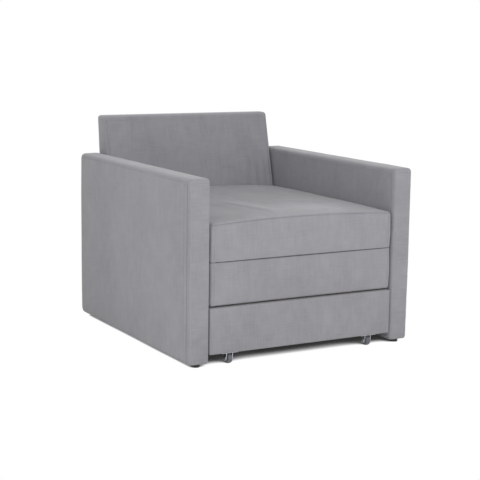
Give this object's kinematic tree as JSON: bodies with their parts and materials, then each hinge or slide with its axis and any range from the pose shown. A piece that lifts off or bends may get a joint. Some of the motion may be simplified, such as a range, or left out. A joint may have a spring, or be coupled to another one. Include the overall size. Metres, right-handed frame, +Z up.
{
  "type": "convertible chair bed",
  "caption": "Upholstered armchair with slim square arms that opens into a single bed: a slatted platform rolls out on castors and the upper seat cushion flips forward onto it.",
  "frame": {"origin": "on the floor, in the middle of the chair's overall width and depth", "axes": "+Z up, the chair faces -Y, +X to the right of someone who faces it"},
  "size_m": [0.84, 0.9007, 0.735],
  "materials": {
    "upholstery": "grey microfibre with a fine slub weave, dull with a soft sheen",
    "hinge_cloth": "woven backing cloth",
    "foam": "open-cell polyurethane foam",
    "webbing": "elastic woven webbing",
    "plywood": "raw plywood",
    "pine": "planed softwood",
    "chipboard": "raw chipboard",
    "zinc_steel": "bright zinc plate",
    "fastener_steel": "zinc plated screws and bolts",
    "black_plastic": "moulded, matt black",
    "wheel_plastic": "moulded dark grey",
    "roller_nylon": "moulded white nylon",
    "bumper_rubber": "moulded rubber"
  },
  "bodies": {
    "chair_frame": {"arm_cover_left": "upholstery", "arm_cover_right": "upholstery", "arm_frame_left": "pine", "arm_frame_right": "pine", "arm_inner_board_left": "plywood", "arm_inner_board_right": "plywood", "arm_outer_board_left": "plywood", "arm_outer_board_right": "plywood", "arm_padding_left": "foam", "arm_padding_right": "foam", "back_cover": "upholstery", "back_foam": "foam", "back_frame": "pine", "back_nuts": "fastener_steel", "back_spacers": "black_plastic", "back_webbing": "webbing", "barrel_nuts": "fastener_steel", "feet": "black_plastic", "fixed_slats": "pine", "foot_screws": "fastener_steel", "frame_bolts": "fastener_steel", "guide_rail_left": "zinc_steel", "guide_rail_right": "zinc_steel", "guide_screws": "fastener_steel", "hinge_leaf_lower": "hinge_cloth", "lower_cushion_core": "foam", "lower_cushion_cover": "upholstery", "rear_ledger": "pine", "rear_panel": "chipboard", "rear_panel_cover": "upholstery", "seat_front_rail": "pine", "slat_packers": "pine", "stop_bumpers": "bumper_rubber"},
    "platform": {"front_panel_cover": "upholstery", "front_panel_padding": "foam", "front_board": "chipboard", "castor_blocks": "pine", "rolling_slats": "pine", "slat_clips": "zinc_steel", "platform_side_rail_left": "pine", "platform_side_rail_right": "pine", "platform_rear_rail": "pine", "corner_blocks": "pine", "roller_axles": "zinc_steel", "castor_screws": "fastener_steel", "castor_fork_left": "zinc_steel", "castor_fork_right": "zinc_steel", "castor_axles": "zinc_steel"},
    "left_castor": {"castor_wheel_left": "wheel_plastic"},
    "right_castor": {"castor_wheel_right": "wheel_plastic"},
    "left_roller": {"guide_roller_left": "roller_nylon"},
    "right_roller": {"guide_roller_right": "roller_nylon"},
    "upper_cushion": {"upper_cushion_cover": "upholstery", "upper_cushion_core": "foam", "hinge_leaf_upper": "hinge_cloth"}
  },
  "joints": [
    {"name": "platform_slide", "type": "slide", "parent": "chair_frame", "child": "platform", "axis": [0, -1, 0], "range_m": [0, 0.74]},
    {"name": "cushion_flip", "type": "hinge", "parent": "chair_frame", "child": "upper_cushion", "pos_m": [0, -0.4492, 0.3325], "axis": [1, 0, 0], "range_deg": [0, 180]},
    {"name": "left_castor_spin", "type": "hinge", "parent": "platform", "child": "left_castor", "pos_m": [-0.268, -0.427, 0.016], "axis": [1, 0, 0], "continuous": true},
    {"name": "left_roller_spin", "type": "hinge", "parent": "platform", "child": "left_roller", "pos_m": [-0.3385, 0.33935, 0.089], "axis": [1, 0, 0], "continuous": true},
    {"name": "right_castor_spin", "type": "hinge", "parent": "platform", "child": "right_castor", "pos_m": [0.268, -0.427, 0.016], "axis": [1, 0, 0], "continuous": true},
    {"name": "right_roller_spin", "type": "hinge", "parent": "platform", "child": "right_roller", "pos_m": [0.3385, 0.33935, 0.089], "axis": [1, 0, 0], "continuous": true}
  ]
}
